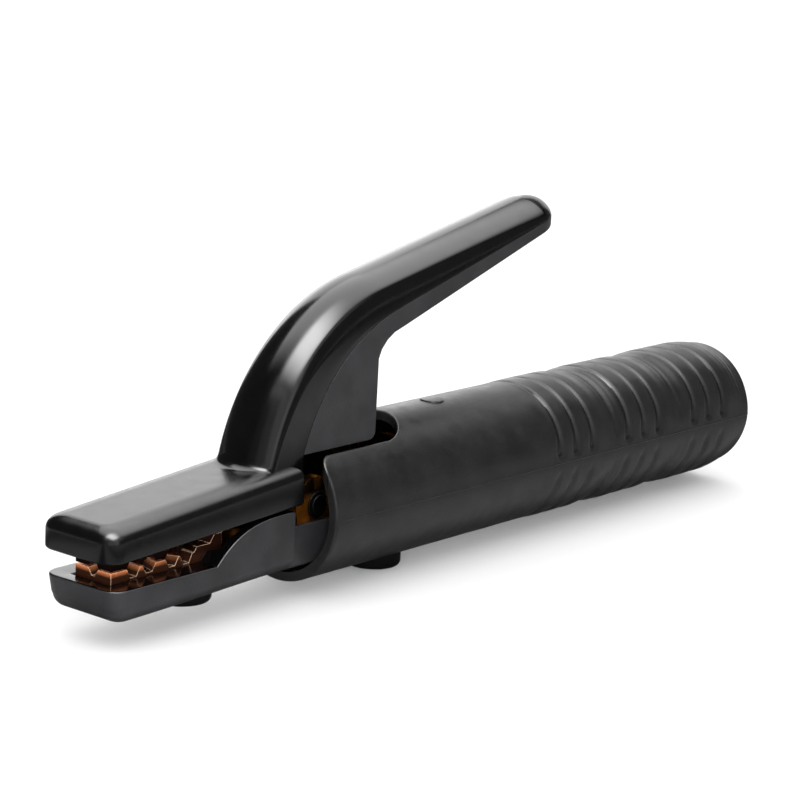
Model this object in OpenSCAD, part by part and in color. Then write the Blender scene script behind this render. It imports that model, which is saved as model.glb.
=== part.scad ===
// Electrode holder for manual arc welding, millimetres.
// +X points forward to the jaw, +Y left, +Z up; the origin is the middle of the cable entry.

/* [Handle] */
// Outer diameter of the plain part of the handle
handle_d = 36.9; // [34:0.1:42]
// Length of the moulded handle
handle_len = 183; // [160:1:200]
// Radius of the cable entry in the rear face
entry_r = 13; // [9:0.5:14]
// Height of the grip rings above the base of the grip
ring_rise = 0.4; // [0.2:0.05:0.8]

/* [Jaw] */
// Where the nose of both jaw covers ends
nose_x = 250.9; // [240:0.1:262]
// Half width of both jaw covers
cover_hw = 11.9; // [11:0.1:14]
// Height of the ledge around the lower insert
ledge_z = -5.9; // [-7:0.1:-5]
// Half width of the copper inserts
jaw_hw = 5.7; // [5:0.1:6]
// Where the copper inserts end at the nose
jaw_front = 244.7; // [240:0.1:246]

/* [Lever] */
// Half width of the lever
lever_hw = 9; // [8:0.5:10]
// Rise of the arm towards the rear, in degrees
arm_tilt = 12; // [8:0.5:16]
// Height of the crown over the shoulders of the lever
crown = 4; // [2:0.5:5]

/* [Clamp body] */
// Radius of the brass tail
tail_r = 12.4; // [10:0.1:13]
// Radius of the cable socket inside its sleeve
socket_r = 6.3; // [4:0.1:7]
// Radius of the hinge pin
pin_r = 2.5; // [2:0.1:3.5]

/* [Hidden] */
$fn = 96;
fit = 0.1;
run_gap = 0.05;
handle_r = handle_d / 2;
bore_r = 16;
grip_r = handle_r - 0.1;
oval = 0.6;
ring_pitch = 7.4;
groups = [[93.5, 0], [62, 0.08], [30, 0.22]];
valleys = [67.4, 36.4];
pivot = [180, 2];
ear_in = 6;
ear_out = 9;
knuckle_hw = 5;
slot_hw = 11;
slot_end = 157;
bar_floor = -6.5;
spring_x = 166;
jaw_screw_x = 216.5;
handle_screw_x = 147;
cover_rear = 187;
cheek_rear = 190.5;
cheek_z = 2.6;
cheek_len = 25.5;
land_low = -3.5;
land_high = -3.1;
bed_hw = 7.2;
arch_c = [146.2, 0.5];
arch_r = 51.4;
arm_len = 78;
seam_c = [140.68, 1.64];
seam_r = 46.34;
seam_tilt = 15.6;
under_tilt = 18;
heel = [159, 15];
tip_x = 94.5;
coil_r = 3.8;
wire_r = 0.7;
coil_turns = 5;
coil_steps = 20;
end_pitch = 1.5;
coil_pitch = 3.3;
rivet_x = [221, 241.3];
low_nose = nose_x - 1.4;
cover_screw_x = 228;
tail_x = [72, 143];
set_screws_x = [88, 108];
// each cross groove: place on the middle line, angle, depth
grooves = [[237.7, 0, 2.1], [230.7, -20, 1.9], [227.5, 20, 2], [220.8, 0, 2.15]];

C_BLACK = [0.06, 0.06, 0.065];
C_GLOSS = [0.03, 0.03, 0.035];
C_BRASS = [0.78, 0.56, 0.25];
C_COPPER = [0.85, 0.47, 0.33];
C_STEEL = [0.62, 0.62, 0.64];

// ---------- helpers ----------
// x-z outline pushed across y
module across(hw) { translate([0, hw, 0]) rotate([90, 0, 0]) linear_extrude(2 * hw) children(); }
// x-y outline pushed up from z0 to z1
module upward(z0, z1) { translate([0, 0, z0]) linear_extrude(z1 - z0) children(); }
// y-z outline pushed forward from x0 to x1
module forward(x0, x1) { translate([x0, 0, 0]) rotate([90, 0, 90]) linear_extrude(x1 - x0) children(); }
// radius against x, turned about the handle's axis
module turned() { rotate([0, 90, 0]) rotate_extrude() children(); }
module rod_y(r, y0, y1) { translate([0, y1, 0]) rotate([90, 0, 0]) cylinder(r = r, h = y1 - y0); }
module rod_x(r, x0, x1) { translate([x0, 0, 0]) rotate([0, 90, 0]) cylinder(r = r, h = x1 - x0); }
module box(x, y, z) { translate([x[0], y[0], z[0]]) cube([x[1] - x[0], y[1] - y[0], z[1] - z[0]]); }
module both_sides() { children(); mirror([0, 1, 0]) children(); }
module at_pivot() { translate([pivot[0], 0, pivot[1]]) children(); }
module round_rect(x0, x1, y0, y1, r) {
    translate([x0 + r, y0]) square([x1 - x0 - 2 * r, y1 - y0]);
    translate([x0, y0 + r]) square([x1 - x0, y1 - y0 - 2 * r]);
    for (x = [x0 + r, x1 - r], y = [y0 + r, y1 - r]) translate([x, y]) circle(r);
}

// ---------- handle ----------
module ring_land(x0, x1, r) {
    polygon([[0, x0], [r - 0.45, x0], [r - 0.1, x0 + 0.7], [r, (x0 + x1) / 2],
        [r - 0.1, x1 - 0.7], [r - 0.45, x1], [0, x1]]);
}

module ring_group(g, r) {
    ring_land(g - ring_pitch + 0.9, g - 0.9, r);
    ring_land(g - 2 * ring_pitch + 0.9, g - ring_pitch - 0.9, r);
    polygon([[0, g - 26], [r - 0.9, g - 26], [r - 0.05, g - 20], [r, g - 17],
        [r - 0.1, g - 2 * ring_pitch - 1.5], [r - 0.45, g - 2 * ring_pitch - 0.9], [0, g - 2 * ring_pitch - 0.9]]);
}

module rings() {
    for (s = [-1, 1]) translate([0, 0, s * oval]) turned() for (g = groups)
        ring_group(g[0], grip_r + ring_rise + g[1] - oval);
    for (s = [-1, 1]) translate([0, 0, s * oval]) turned() for (v = valleys)
        ring_land(v - 4.4, v - 0.4, grip_r + ring_rise - oval);
}

module valley_limit() {
    deep = grip_r - 0.5 + oval;
    turned() polygon([[0, -1], [24, -1], [24, 24], for (v = [valleys[1], valleys[0]])
        for (p = [[0.9, v - 2.6], [0, v], [0.95, v + 7]]) [deep + p[0], p[1]],
        [24, 78], [24, handle_len + 1], [0, handle_len + 1]]);
}

module handle_outside() {
    intersection() {
        union() {
            turned() polygon([[0, 0], [grip_r - 0.9, 0], [grip_r - 0.5, 0.3], [grip_r - 0.15, 1],
                [grip_r, 2.2], [grip_r, 94], [handle_r, 94.6], [handle_r, handle_len - 1.2],
                [handle_r - 0.35, handle_len - 0.3], [handle_r - 0.9, handle_len], [0, handle_len]]);
            rings();
            both_sides() box([2, handle_len - 2], [handle_r - 1, handle_r + 0.12], [-0.2, 0.2]);
            translate([126, 0, handle_r - 2]) cylinder(r = 3, h = 2.4);
        }
        for (s = [-1, 1]) translate([0, 0, s * -oval]) valley_limit();
    }
}

module slot_outline() {
    translate([slot_end, 0]) circle(slot_hw);
    translate([slot_end, -slot_hw]) square([40, 2 * slot_hw]);
    both_sides2d() difference() {
        translate([handle_len - 4, slot_hw - 0.1]) square([8, 4.1]);
        translate([handle_len - 4, slot_hw + 4]) circle(4);
    }
}

module both_sides2d() { children(); mirror([0, 1]) children(); }

module handle_barrel() color(C_BLACK) {
    difference() {
        handle_outside();
        turned() polygon([[0, -1], [entry_r, -1], [entry_r, 12], [bore_r, 15], [bore_r, handle_len + 1], [0, handle_len + 1]]);
        upward(1, 40) slot_outline();
        translate([handle_screw_x, 0, -30]) cylinder(r = 3.4, h = 20);
    }
    for (a = [45 : 90 : 315]) rotate([a, 0, 0])
        box([tail_x[0] + 3, tail_x[1] - 3], [-1, 1], [tail_r + fit, bore_r + 0.3]);
}

// ---------- lower jaw ----------
function cheek(t) = [216 - cheek_len * t, ledge_z + (cheek_z - ledge_z) * (1 - pow(1 - t, 3.3))];

module lower_side() {
    polygon([[cheek_rear, -18], [low_nose, -18], [low_nose, ledge_z], [217.2, ledge_z],
        [216.3, ledge_z + 0.35], for (t = [0.05 : 0.1 : 0.95]) cheek(t), [cheek_rear, cheek_z]]);
}

module nose_plan(x0) {
    translate([x0, -cover_hw]) square([nose_x - 4.5 - x0, 2 * cover_hw]);
    translate([x0, 4.5 - cover_hw]) square([nose_x - x0, 2 * cover_hw - 9]);
    for (s = [-1, 1]) translate([nose_x - 4.5, s * (cover_hw - 4.5)]) circle(4.5);
}

// prism along x whose lower edges are rounded
module keel(hw, z, r, top) {
    forward(-10, 90) {
        translate([-hw + r, z]) square([2 * hw - 2 * r, top - z]);
        translate([-hw, z + r]) square([2 * hw, top - z - r]);
        for (s = [-1, 1]) translate([s * (hw - r), z + r]) circle(r);
    }
}

module lower_outside() {
    intersection() {
        across(20) lower_side();
        translate([low_nose - nose_x, 0, 0]) upward(-20, 10) nose_plan(180);
        translate([180, 0, 0]) rotate([0, 1.15, 0]) keel(cover_hw, -12.0, 3.6, 30);
        across(20) {
            translate([160, -10]) square([100, 30]);
            translate([160, -20]) square([low_nose - 163.6, 30]);
            translate([low_nose - 3.6, -9.7]) circle(3.6);
        }
    }
    // neck that slides into the mouth of the handle
    difference() {
        intersection() {
            box([176, cheek_rear + 0.5], [-10.6, 10.6], [-12.2, -1.7]);
            rod_x(15.7, 170, 195);
        }
        box([170, 200], [-ear_out - fit, ear_out + fit], [-11 - fit, 5]);
    }
}

module lower_cover() color(C_BLACK) difference() {
    lower_outside();
    box([184, 214], [-ear_out - 0.3, ear_out + 0.3], [-9.2, 10]);
    box([184, 206.3], [-bed_hw - 0.2, bed_hw + 0.2], [-11, 10]);
    box([184, jaw_front + 1], [-jaw_hw - 0.2, jaw_hw + 0.2], [-11, 10]);
    translate([jaw_screw_x, 0, -30]) cylinder(r = 2.9, h = 25);
}

// ---------- copper inserts ----------
module jaw_grooves() {
    for (g = grooves) translate([g[0], 0, 0]) rotate([0, 0, g[1]]) across(20)
        polygon([[-0.95, -g[2]], [0.95, -g[2]], [2.3, 0.6], [-2.3, 0.6]]);
    forward(227, 260) polygon([[-0.4, -1.7], [0.4, -1.7], [2, 0.6], [-2, 0.6]]);
}

module lower_jaw() color(C_COPPER) difference() {
    across(jaw_hw) polygon([[209, -7.1], [jaw_front, -7.1], [jaw_front, land_low], [218.2, land_low],
        [217.4, land_low + 1.2], [213, land_low + 1.2], [211.6, land_low + 3.2], [209, land_low + 3.2]]);
    translate([0, 0, land_low]) jaw_grooves();
    for (x = rivet_x) translate([x, 0, -12]) cylinder(r = 1.5, h = 20);
}

module upper_jaw() color(C_COPPER) difference() {
    across(jaw_hw) polygon([[218.8, 1.5], [218.8, land_high], [jaw_front, land_high], [jaw_front, 1.5]]);
    translate([0, 0, land_high]) mirror([0, 0, 1]) jaw_grooves();
    for (x = rivet_x) translate([x, 0, -12]) cylinder(r = 1.5, h = 20);
}

module lower_jaw_rivets() color(C_COPPER) for (x = rivet_x)
    translate([x, 0, -9.7]) cylinder(r = 1.5, h = land_low - 2.5 + 9.7);

module upper_jaw_rivets() color(C_COPPER) for (x = rivet_x)
    translate([x, 0, land_high + 2.5]) cylinder(r = 1.5, h = 5.2 - land_high - 2.5);

// ---------- clamp body ----------
module ear() {
    intersection() {
        at_pivot() rod_y(7, ear_in, ear_out);
        box([172, 187], [0, 20], [-20, 20]);
    }
    box([pivot[0] - 7, pivot[0] + 6.5], [ear_in, ear_out], [-10.8, pivot[1]]);
}

module clamp_body() color(C_BRASS) difference() {
    union() {
        box([192, jaw_front + 0.8], [-jaw_hw, jaw_hw], [-10.8, -7.2]);
        box([172, 206], [-bed_hw, bed_hw], [-10.8, -5.2]);
        both_sides() ear();
        box([tail_x[1] - 2, 173], [-ear_out, ear_out], [-10.8, bar_floor]);
        rod_x(tail_r, tail_x[0], tail_x[1]);
    }
    rod_x(socket_r + 0.7, tail_x[0] - 1, tail_x[0] + 50);
    for (x = set_screws_x) translate([x, 0, -20]) cylinder(r = 4.05, h = 20);
    at_pivot() rod_y(pin_r + run_gap, -20, 20);
    translate([jaw_screw_x, 0, -20]) cylinder(r = 2.55, h = 20);
    translate([handle_screw_x, 0, -20]) cylinder(r = 3.05, h = 15);
    for (x = rivet_x) translate([x, 0, -9.7]) cylinder(r = 1.5, h = 20);
}

module cable_sleeve() color(C_COPPER) difference() {
    rod_x(socket_r + 0.65, tail_x[0], tail_x[0] + 49.5);
    rod_x(socket_r, tail_x[0] - 1, tail_x[0] + 60);
}

module cable_screws() color(C_STEEL) for (x = set_screws_x) translate([x, 0, 0]) difference() {
    translate([0, 0, -tail_r + 0.6]) cylinder(r = 4, h = tail_r - 0.6 - socket_r - 0.9);
    translate([0, 0, -tail_r]) cylinder(r = 2.3, h = 3.6, $fn = 6);
}

// ---------- screws underneath ----------
module slotted_head(r, z0, z1) {
    difference() {
        translate([0, 0, z0]) cylinder(r = r, h = z1 - z0);
        box([-r - 1, r + 1], [-0.6, 0.6], [z0 - 1, z0 + 1.2]);
    }
}

module jaw_screw() color(C_STEEL) translate([jaw_screw_x, 0, 0]) {
    slotted_head(4.2, -15.9, -13.6);
    translate([0, 0, -13.7]) cylinder(r = 2.5, h = 6.4);
}

module handle_screw() color(C_STEEL) translate([handle_screw_x, 0, 0]) {
    slotted_head(4.8, -20.4, -19.1);
    translate([0, 0, -19.2]) cylinder(r = 3, h = 13.2);
}

module boss(r, z0, z1) {
    e = 1.2;
    translate([0, 0, z0 + e]) cylinder(r = r, h = z1 - z0 - e);
    translate([0, 0, z0]) cylinder(r = r - e, h = e + 0.1);
    translate([0, 0, z0 + e]) rotate_extrude() translate([r - e, 0]) circle(e);
}

module jaw_screw_boss() color(C_BLACK) difference() {
    translate([jaw_screw_x, 0, 0]) difference() {
        boss(7.4, -16.3, -12);
        translate([0, 0, -17]) cylinder(r = 4.3, h = 3.5);
        translate([0, 0, -17]) cylinder(r = 2.6, h = 10);
    }
    translate([180, 0, 0]) rotate([0, 1.15, 0]) box([0, 90], [-20, 20], [-12.02, 0]);
}

module handle_screw_boss() color(C_BLACK) difference() {
    translate([handle_screw_x, 0, 0]) difference() {
        boss(7.3, -20.9, -15);
        translate([0, 0, -22]) cylinder(r = 4.9, h = 2.95);
        translate([0, 0, -22]) cylinder(r = 3.1, h = 12);
    }
    rod_x(handle_r + 0.02, 120, 180);
}

// ---------- hinge and spring ----------
module pivot_pin() color(C_STEEL) at_pivot() difference() {
    rod_y(pin_r, -10.3, 10.3);
    both_sides() difference() {
        rod_y(pin_r + 1, ear_out + 0.1, ear_out + 0.8);
        rod_y(pin_r - 0.4, ear_out, ear_out + 1);
    }
}

module pivot_clips() color(C_STEEL) at_pivot() both_sides() difference() {
    rod_y(3.3, ear_out + 0.15, ear_out + 0.75);
    rod_y(pin_r - 0.38, ear_out, ear_out + 2);
    box([-4, 0], [ear_out, ear_out + 2], [-1.2, 1.2]);
}

module hinge_washers() color(C_STEEL) at_pivot() both_sides() difference() {
    rod_y(5.6, knuckle_hw + 0.1, ear_in);
    rod_y(pin_r + run_gap, 0, 10);
}

module hinge_bush() color(C_BRASS) at_pivot() difference() {
    rod_y(3.8, -knuckle_hw, knuckle_hw);
    rod_y(pin_r + run_gap, -20, 20);
}

module spring_post() color(C_STEEL) translate([spring_x, 0, bar_floor]) {
    cylinder(r = 2.4, h = 5);
    translate([0, 0, 5]) cylinder(r1 = 2.4, r2 = 1.4, h = 1.2);
}

// height of the wire's middle after u turns: the end coils lie closed
function coil_z(u) = end_pitch * min(u, 1) + coil_pitch * max(0, min(u, coil_turns - 1) - 1)
    + end_pitch * max(0, u - coil_turns + 1);
function coil_ring(u) = [for (b = [0 : 45 : 315])
    [(coil_r + wire_r * cos(b)) * cos(360 * u), (coil_r + wire_r * cos(b)) * sin(360 * u), coil_z(u) + wire_r * sin(b)]];

module jaw_spring() color(C_STEEL) translate([spring_x, 0, bar_floor + wire_r + 0.05]) {
    rings = coil_turns * coil_steps;
    polyhedron(points = [for (i = [0 : rings]) each coil_ring(i / coil_steps)],
        faces = [[for (j = [0 : 7]) j],
            for (i = [0 : rings - 1], j = [0 : 7])
                [8 * i + j, 8 * i + 8 + j, 8 * i + 8 + (j + 1) % 8, 8 * i + (j + 1) % 8],
            [for (j = [7 : -1 : 0]) 8 * rings + j]]);
}

module spring_cup() color(C_STEEL) translate([spring_x, 0, 0]) difference() {
    translate([0, 0, 7.6]) cylinder(r = 5.4, h = 1.9);
    translate([0, 0, 7]) cylinder(r = 4.8, h = 1.3);
}

// ---------- lever ----------
module section(hw, rise) {
    chord_r = (hw * hw + rise * rise) / (2 * rise);
    intersection() {
        translate([arch_r - 30, -hw]) square([30 + rise, 2 * hw]);
        union() {
            translate([arch_r - 30, -hw]) square([28.6, 2 * hw]);
            intersection() {
                translate([arch_r + rise - chord_r, 0]) circle(chord_r);
                round_rect(arch_r - 20, arch_r + 20, -hw, hw, 1);
            }
        }
    }
}

module lever_path() translate([arch_c[0], 0, arch_c[1]]) rotate([90, 0, 0]) children();

module lever_outside() intersection() {
    lever_path() {
        rotate([0, 0, 9]) rotate_extrude(angle = 81.5 - arm_tilt) section(lever_hw, crown);
        rotate([0, 0, 90 - arm_tilt]) translate([0, arm_len, 0]) rotate([90, 0, 0]) linear_extrude(arm_len) section(lever_hw, crown);
    }
    upward(0, 90) tip_plan();
}

module tip_plan() {
    translate([tip_x, 0]) circle(lever_hw);
    translate([tip_x, -lever_hw]) square([120, 2 * lever_hw]);
}

function seam_point(a) = seam_c + seam_r * [cos(a), sin(a)];
seam_bend = seam_point(90 - seam_tilt);
seam_tip = [70, seam_bend[1] + (seam_bend[0] - 70) * tan(seam_tilt)];
under_bend = [150.1, 41.9];
under_tip = [70, under_bend[1] + (under_bend[0] - 70) * tan(under_tilt)];

// everything under the seam line of the lever
module below_seam() polygon([for (a = [17.2 : 4.8 : 90 - seam_tilt]) seam_point(a), seam_bend, seam_tip, [70, 0], [184.95, 0]]);

module insert_side() difference() {
    intersection() {
        below_seam();
        translate([60, heel[1]]) square([140, 80]);
    }
    polygon([[heel[0], 0], [heel[0], 35], [158, 37.2], [156, 39.3], [153.4, 40.9], under_bend, under_tip, [70, 0]]);
}

module web_side() polygon([[186.5, 4.5], [186.5, 9], [183.6, 14], [181.8, 19.5], [178.6, 26], [173.6, 32.4],
    [166.6, 38.4], [160, 42], [157, 43], [158.5, 40.6], [162.4, 36], [165, 30], [165, 16], [162, 14.6],
    [162, 9.5], [171.8, 9.5], [174, 4]]);

module lever_insert() color(C_BLACK) difference() {
    intersection() {
        across(lever_hw) insert_side();
        upward(0, 90) tip_plan();
        across(20) {
            translate([heel[0] + 2, heel[1]]) square([60, 60]);
            translate([60, heel[1] + 2]) square([160, 60]);
            translate([heel[0] + 2, heel[1] + 2]) circle(2);
        }
    }
    across(4.1) web_side();
    arm_screws(3.1, 1.5, 0.2);
}

// prism along x whose top edges are rounded
module crest(hw, r) forward(-30, 70) {
    translate([r - hw, -30]) square([2 * hw - 2 * r, 30]);
    translate([-hw, -30]) square([2 * hw, 30 - r]);
    for (s = [-1, 1]) translate([s * (hw - r), -r]) circle(r);
}

module upper_outside() intersection() {
    across(20) polygon([[cover_rear, 3.7], [nose_x, 0.15], [nose_x, 30], [cover_rear, 30]]);
    upward(-5, 30) nose_plan(cover_rear);
    translate([200, 0, 12.5]) rotate([0, 4.95, 0]) crest(cover_hw, 3);
    across(20) {
        translate([160, -10]) square([nose_x - 163, 50]);
        translate([160, -10]) square([nose_x - 160, 15.05]);
        translate([nose_x - 3, 5.05]) circle(3);
    }
}

module lever_cover() color(C_GLOSS) difference() {
    union() {
        upper_outside();
        lever_outside();
    }
    across(30) below_seam();
    box([150, cover_rear], [-20, 20], [-20, 14.6]);
    box([cover_rear - 1, 196], [-9.6, 9.6], [-10, 10]);
    box([cover_rear - 1, jaw_front + 1], [-jaw_hw - 0.5, jaw_hw + 0.5], [-10, 5.7]);
    across(9.6) polygon([[180, -9], [196, -9], [196, 3.2], [180, 3.8]]);
    translate([cover_screw_x, 0, 0]) cylinder(r = 1.65, h = 8.4);
    arm_screws(1.5, 1.5, 0.2);
}

module lever_core() color(C_BRASS) difference() {
    union() {
        at_pivot() rod_y(6.3, -knuckle_hw, knuckle_hw);
        across(4) web_side();
        across(knuckle_hw) polygon([[pivot[0], -4.2], [184, -2.6], [190, 1.5], [195.8, 1.5], [195.8, 5.5], [189.5, 8.2], [pivot[0], 8.2]]);
        box([190, jaw_front + 0.8], [-jaw_hw - 0.4, jaw_hw + 0.4], [1.5, 5.5]);
        translate([spring_x, 0, 9.5]) cylinder(r = 5.4, h = 4);
    }
    at_pivot() rod_y(3.85, -20, 20);
    translate([cover_screw_x, 0, 0]) cylinder(r = 1.85, h = 10);
    translate([cover_screw_x, 0, 1.4]) cylinder(r1 = 3.6, r2 = 1.85, h = 1.9);
    for (x = rivet_x) translate([x, 0, 0]) cylinder(r = 1.5, h = 5.2);
}

module cover_screw() color(C_STEEL) translate([cover_screw_x, 0, 0]) {
    translate([0, 0, 1.52]) cylinder(r1 = 3.4, r2 = 1.6, h = 1.8);
    translate([0, 0, 2]) cylinder(r = 1.6, h = 6.2);
}

module arm_screws(head_r, shank_r, grow) {
    for (x = [108, 134]) translate([x, 0, under_bend[1] + (under_bend[0] - x) * tan(under_tilt)]) rotate([0, under_tilt, 0]) {
        translate([0, 0, -2]) cylinder(r = head_r, h = 3.2 + grow);
        translate([0, 0, 1]) cylinder(r = shank_r, h = 5 + grow);
    }
}

module insert_screws() color(C_STEEL)
    for (x = [108, 134]) translate([x, 0, under_bend[1] + (under_bend[0] - x) * tan(under_tilt)]) rotate([0, under_tilt, 0]) difference() {
        union() {
            translate([0, 0, 0.2]) cylinder(r = 2.9, h = 1.1);
            translate([0, 0, 1.2]) cylinder(r = 1.4, h = 4.7);
        }
        for (a = [0, 90]) rotate([0, 0, a]) box([-1.6, 1.6], [-0.3, 0.3], [0, 0.9]);
    }

handle_barrel();
lower_cover();
clamp_body();
lower_jaw();
lower_jaw_rivets();
jaw_screw();
jaw_screw_boss();
handle_screw();
handle_screw_boss();
cable_screws();
cable_sleeve();
pivot_pin();
pivot_clips();
hinge_washers();
spring_post();
jaw_spring();
lever_cover();
lever_insert();
lever_core();
upper_jaw();
upper_jaw_rivets();
cover_screw();
hinge_bush();
spring_cup();
insert_screws();
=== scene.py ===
import math
import bmesh
import bpy
from mathutils import Matrix, Vector


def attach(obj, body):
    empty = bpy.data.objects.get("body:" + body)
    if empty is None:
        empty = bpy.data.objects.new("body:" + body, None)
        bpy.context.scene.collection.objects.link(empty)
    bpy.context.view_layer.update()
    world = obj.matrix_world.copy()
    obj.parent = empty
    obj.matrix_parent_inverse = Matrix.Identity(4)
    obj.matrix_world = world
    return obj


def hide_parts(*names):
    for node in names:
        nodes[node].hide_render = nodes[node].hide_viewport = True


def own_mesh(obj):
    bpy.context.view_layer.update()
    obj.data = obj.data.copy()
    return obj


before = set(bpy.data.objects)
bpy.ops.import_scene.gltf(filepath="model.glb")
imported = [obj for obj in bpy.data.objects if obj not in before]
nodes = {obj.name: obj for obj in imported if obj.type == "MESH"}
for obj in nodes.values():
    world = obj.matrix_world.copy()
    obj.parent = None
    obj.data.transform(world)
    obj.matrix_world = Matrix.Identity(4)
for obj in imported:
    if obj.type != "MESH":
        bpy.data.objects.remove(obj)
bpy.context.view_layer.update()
MM = 0.001


def sm(a, b, x):
    t = min(max((x - a) / (b - a), 0.0), 1.0)
    return t * t * (3 - 2 * t)


def curve_at(table, x):
    """Smooth value at x of a rising list of (x, value)."""
    if x <= table[0][0]:
        return table[0][1]
    for (x0, v0), (x1, v1) in zip(table, table[1:]):
        if x <= x1:
            return v0 + (v1 - v0) * sm(0, 1, (x - x0) / (x1 - x0))
    return table[-1][1]


# ------------------------------------------------------------------ materials
def material(name, colour, rough, metal=0.0, spread=0.05, grain=0.0, grain_size=0.0004, wave=0.0, mottle=0.25,
             worn=None, spec=0.5, sides=None, shade_along_x=None, low=None, sunk=None):
    """Procedural finish: colour mottling, uneven roughness, fine grain and slow waviness in the bump.

    worn is the colour of rubbed edges, and sides the colour painted on upright faces, painted shade where it is
    darker.
    The zones along X and along Z are painted shade, (value where the shade is full, value where it ends, shade
    colour).
    sunk is the (roughness, colour) in grooves: a smoother finish, and painted shade in the colour.
    """
    m = bpy.data.materials.new(name)
    m.use_nodes = True
    nt = m.node_tree
    bsdf = nt.nodes["Principled BSDF"]
    link = nt.links.new
    coord = nt.nodes.new("ShaderNodeTexCoord")

    def noise(size, detail):
        n = nt.nodes.new("ShaderNodeTexNoise")
        n.inputs["Scale"].default_value = 1.0 / size
        n.inputs["Detail"].default_value = detail
        link(coord.outputs["Object"], n.inputs["Vector"])
        return n.outputs["Fac"]

    def spanned(value, lo, hi, f0=0.3, f1=0.7):
        """The value's range f0 to f1, mapped to lo to hi and held there."""
        r = nt.nodes.new("ShaderNodeMapRange")
        r.inputs["From Min"].default_value = f0
        r.inputs["From Max"].default_value = f1
        r.inputs["To Min"].default_value = lo
        r.inputs["To Max"].default_value = hi
        link(value, r.inputs["Value"])
        return r.outputs["Result"]

    def mixed(factor, first, second):
        mix = nt.nodes.new("ShaderNodeMix")
        mix.data_type = "RGBA"
        link(factor, mix.inputs[0])
        link(first, mix.inputs[6])
        mix.inputs[7].default_value = tuple(second) + (1,)
        return mix.outputs[2]

    mottled = nt.nodes.new("ShaderNodeMix")
    mottled.data_type = "RGBA"
    mottled.inputs[6].default_value = tuple(c * (1 - mottle) for c in colour) + (1,)
    mottled.inputs[7].default_value = tuple(min(c * (1 + mottle), 1) for c in colour) + (1,)
    link(spanned(noise(0.009, 4), 0, 1), mottled.inputs[0])
    out = mottled.outputs[2]
    # Painted light and shade by facing: upright faces take the sides colour in place of the base colour.
    if sides:
        geo = nt.nodes.new("ShaderNodeNewGeometry")
        parts = nt.nodes.new("ShaderNodeSeparateXYZ")
        level = nt.nodes.new("ShaderNodeMath")
        level.operation = "ABSOLUTE"
        link(geo.outputs["True Normal"], parts.inputs[0])
        link(parts.outputs["Z"], level.inputs[0])
        out = mixed(spanned(level.outputs[0], 1, 0, 0.08, 0.3), out, sides)
    # Painted shade: the colour goes darker past a given X or Z, where parts sit deep in the holder's shade.
    for axis, zone in (("X", shade_along_x), ("Z", low)):
        if zone:
            parts = nt.nodes.new("ShaderNodeSeparateXYZ")
            link(coord.outputs["Object"], parts.inputs[0])
            out = mixed(spanned(parts.outputs[axis], 1, 0, zone[0], zone[1]), out, zone[2])
    if worn:
        geo = nt.nodes.new("ShaderNodeNewGeometry")
        edge = nt.nodes.new("ShaderNodeMath")
        edge.operation = "MULTIPLY"
        link(spanned(geo.outputs["Pointiness"], 0, 1, 0.53, 0.62), edge.inputs[0])
        link(spanned(noise(0.002, 4), 0.2, 1), edge.inputs[1])
        out = mixed(edge.outputs[0], out, worn)
    uneven = spanned(noise(0.004, 5), rough - spread, rough + spread)
    # Painted shade in grooves: concave places take the darker sunk colour, and a smoother roughness.
    if sunk:
        geo = nt.nodes.new("ShaderNodeNewGeometry")
        hollow = spanned(geo.outputs["Pointiness"], 1, 0, 0.44, 0.49)
        out = mixed(hollow, out, sunk[1])
        smoother = nt.nodes.new("ShaderNodeMix")
        link(hollow, smoother.inputs[0])
        link(uneven, smoother.inputs[2])
        smoother.inputs[3].default_value = sunk[0]
        uneven = smoother.outputs[0]
    link(out, bsdf.inputs["Base Color"])
    link(uneven, bsdf.inputs["Roughness"])
    bsdf.inputs["Metallic"].default_value = metal
    bsdf.inputs["IOR"].default_value = 1.5
    bsdf.inputs["Specular IOR Level"].default_value = spec
    normal = None
    for height, size, detail in ((wave, 0.02, 1.0), (grain, grain_size, 2.0)):
        if height:
            b = nt.nodes.new("ShaderNodeBump")
            b.inputs["Strength"].default_value = 1.0
            b.inputs["Distance"].default_value = height
            link(noise(size, detail), b.inputs["Height"])
            if normal:
                link(normal, b.inputs["Normal"])
            normal = b.outputs["Normal"]
    if normal:
        link(normal, bsdf.inputs["Normal"])
    return m


GLOSS = material("gloss_black_mat", (0.0014, 0.0014, 0.0017), 0.17, spread=0.03, wave=0.00003, mottle=0.2)
HANDLED = material("handled_black_mat", (0.0014, 0.0014, 0.0017), 0.23, spread=0.04, wave=0.00003, grain=0.00001,
                   grain_size=0.0006, mottle=0.2)
# Satin black; in the barrel's grooves its colour goes darker as painted shade.
SATIN = material("satin_black_mat", (0.008, 0.008, 0.008), 0.36, spread=0.06, grain=0.00003, grain_size=0.0006,
                 sunk=(0.14, (0.001, 0.001, 0.001)))
GRAIN = material("grained_black_mat", (0.016, 0.016, 0.0175), 0.36, spread=0.05, grain=0.00003, grain_size=0.0007)
# Copper goes near black to the rear of X 221 mm and below Z -4.7 mm: painted shade where it sits deep between the
# covers.
COPPER = material("copper_mat", (0.9, 0.29, 0.11), 0.3, metal=0.6, spread=0.08, grain=0.00003, grain_size=0.0006,
                  mottle=0.25, sides=(0.95, 0.3, 0.11), shade_along_x=(0.221, 0.231, (0.03, 0.01, 0.006)),
                  low=(-0.0047, -0.0035, (0.05, 0.017, 0.008)))
# Pale copper for the lower jaw's eased edges: a painted highlight.
COPPER_HIGHLIGHT = material("copper_painted_highlight_mat", (1.0, 0.62, 0.42), 0.25, metal=0.3, spread=0.06, mottle=0.1)
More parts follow.
